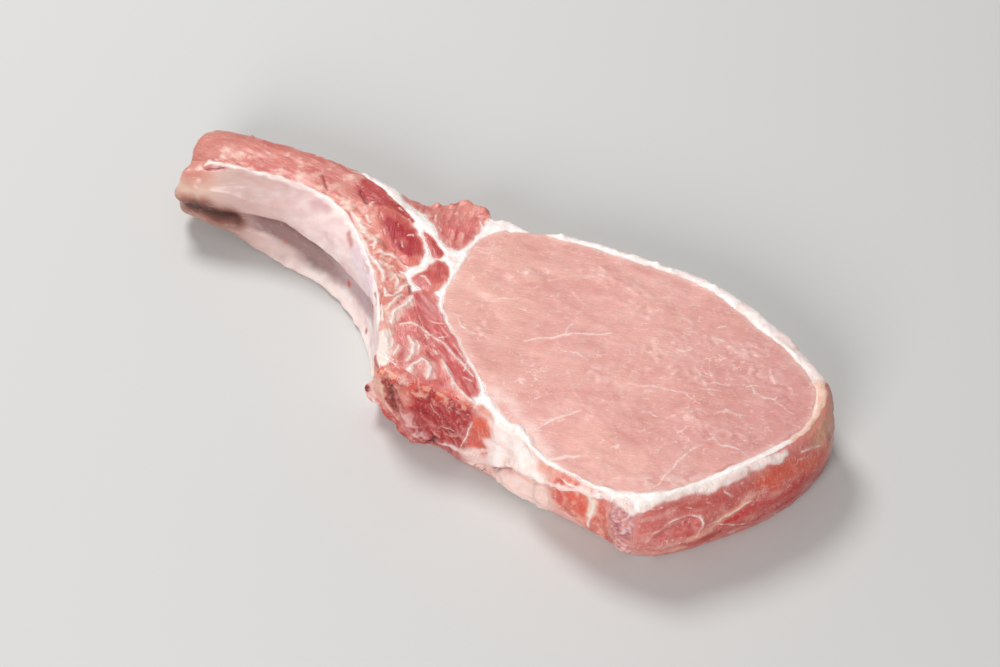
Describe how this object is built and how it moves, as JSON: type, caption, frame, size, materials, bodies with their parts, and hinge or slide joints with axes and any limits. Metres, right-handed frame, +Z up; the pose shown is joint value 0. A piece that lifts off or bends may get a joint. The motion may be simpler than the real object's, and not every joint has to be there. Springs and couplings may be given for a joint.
{
  "type": "raw pork rib chop",
  "caption": "Raw bone-in pork rib chop: oval loin eye in a rim of fat, curved rib bone with a strip of meat at one side and a sawn backbone corner.",
  "frame": {"origin": "middle of the footprint's box, on the table that the lower cut face lies on", "axes": "+X from the rib's tip to the far end of the loin eye, +Y towards the fat side of the eye, +Z up, square to the cut faces"},
  "size_m": [0.1844, 0.0744, 0.0217],
  "materials": {
    "loin_meat": "moist raw meat, fine grained, pale salmon pink with faint fat veins",
    "fat": "moist raw fat, warm white",
    "rib_membrane": "wet membrane over bone, pale pinkish lilac, smooth and glossy",
    "rib_meat": "moist raw meat, orange pink with creamy streaks",
    "dark_meat": "moist raw meat, deep red",
    "flap_meat": "moist raw meat, ragged, salmon red",
    "marbled_meat": "moist raw meat, red with white streaks of fat",
    "chine": "sawn spongy bone and gristle, brownish red",
    "flank_meat": "moist raw meat, orange red with thin white fascia",
    "knob_meat": "crumpled fascia, purple pink with pale glints",
    "side_meat": "moist raw meat under thin fascia, deep salmon red"
  },
  "bodies": {
    "root": {"loin_eye": "loin_meat", "fat": "fat", "rib_bone": "rib_membrane", "rib_meat": "rib_meat", "cap_muscle": "dark_meat", "wedge_muscle": "dark_meat", "round_muscle": "dark_meat", "flap_muscle": "flap_meat", "strip_muscle": "marbled_meat", "back_meat": "marbled_meat", "chine_bone": "chine", "corner_muscle": "flank_meat", "flank_muscle": "flank_meat", "knob_muscle": "knob_meat", "side_muscle": "side_meat"}
  },
  "joints": []
}
